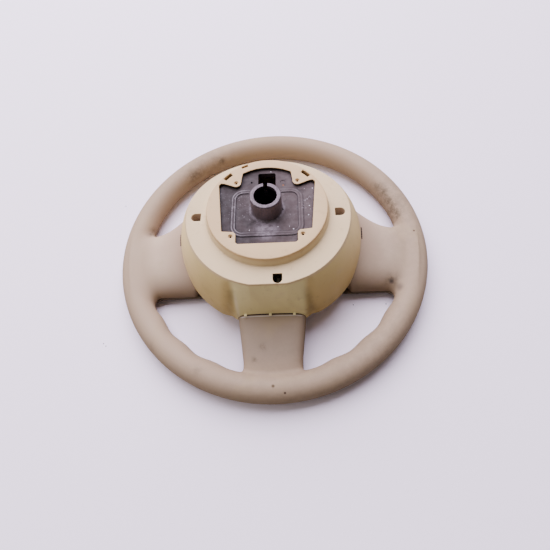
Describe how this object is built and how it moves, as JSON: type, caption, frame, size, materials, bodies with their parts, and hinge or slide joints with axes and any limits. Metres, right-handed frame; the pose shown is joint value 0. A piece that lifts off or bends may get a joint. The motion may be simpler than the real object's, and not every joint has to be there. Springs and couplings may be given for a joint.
{
  "type": "car steering wheel",
  "caption": "Three-spoke steering wheel lying face down: foam rim with finger swells, round rear hub cover, cast hub plate, splined boss and sprung horn pad.",
  "frame": {"origin": "middle of the boss end face, the mouth of the shaft bore", "axes": "+Z out of the bore toward the steering column, -Y toward the lower spoke, +X to the right as seen from the back; the wheel lies face down"},
  "size_m": [0.37, 0.37, 0.126],
  "materials": {
    "cast_alloy": "die cast, dull, with white corrosion",
    "boss_steel": "turned steel, dull grey",
    "grip_foam": "polyurethane foam skin, fine grain, worn satin",
    "cover_plastic": "moulded plastic, fine satin texture",
    "bezel_plastic": "moulded dark plastic, satin",
    "pad_plastic": "soft moulded skin, fine grain",
    "plate_steel": "zinc plated",
    "inflator_steel": "drawn steel",
    "fastener_steel": "zinc plated",
    "spring_steel": "drawn wire",
    "bush_plastic": "moulded natural nylon",
    "bag_fabric": "folded woven nylon"
  },
  "bodies": {
    "wheel": {"armature": "cast_alloy", "splined_boss": "boss_steel", "rim_skin": "grip_foam", "rear_cover": "cover_plastic", "cover_screws": "fastener_steel", "front_bezel": "bezel_plastic", "guide_bush_right": "bush_plastic", "guide_bush_left": "bush_plastic", "guide_bush_lower": "bush_plastic", "latch_spring_right": "spring_steel", "latch_spring_left": "spring_steel", "latch_spring_lower": "spring_steel", "horn_spring_right": "spring_steel", "horn_spring_left": "spring_steel", "horn_spring_lower": "spring_steel"},
    "pad_module": {"pad_cover": "pad_plastic", "module_plate": "plate_steel", "inflator": "inflator_steel", "inflator_nuts": "fastener_steel", "retainer_ring": "plate_steel", "folded_bag": "bag_fabric", "hook_pin_right": "fastener_steel", "hook_pin_left": "fastener_steel", "hook_pin_lower": "fastener_steel"}
  },
  "joints": [
    {"name": "horn_press", "type": "slide", "parent": "wheel", "child": "pad_module", "axis": [0, 0, 1], "range_m": [0, 0.0025], "stiffness_N_per_m": 6000, "springref_m": -0.0033, "deforming": ["horn_spring_right", "horn_spring_left", "horn_spring_lower"]}
  ]
}
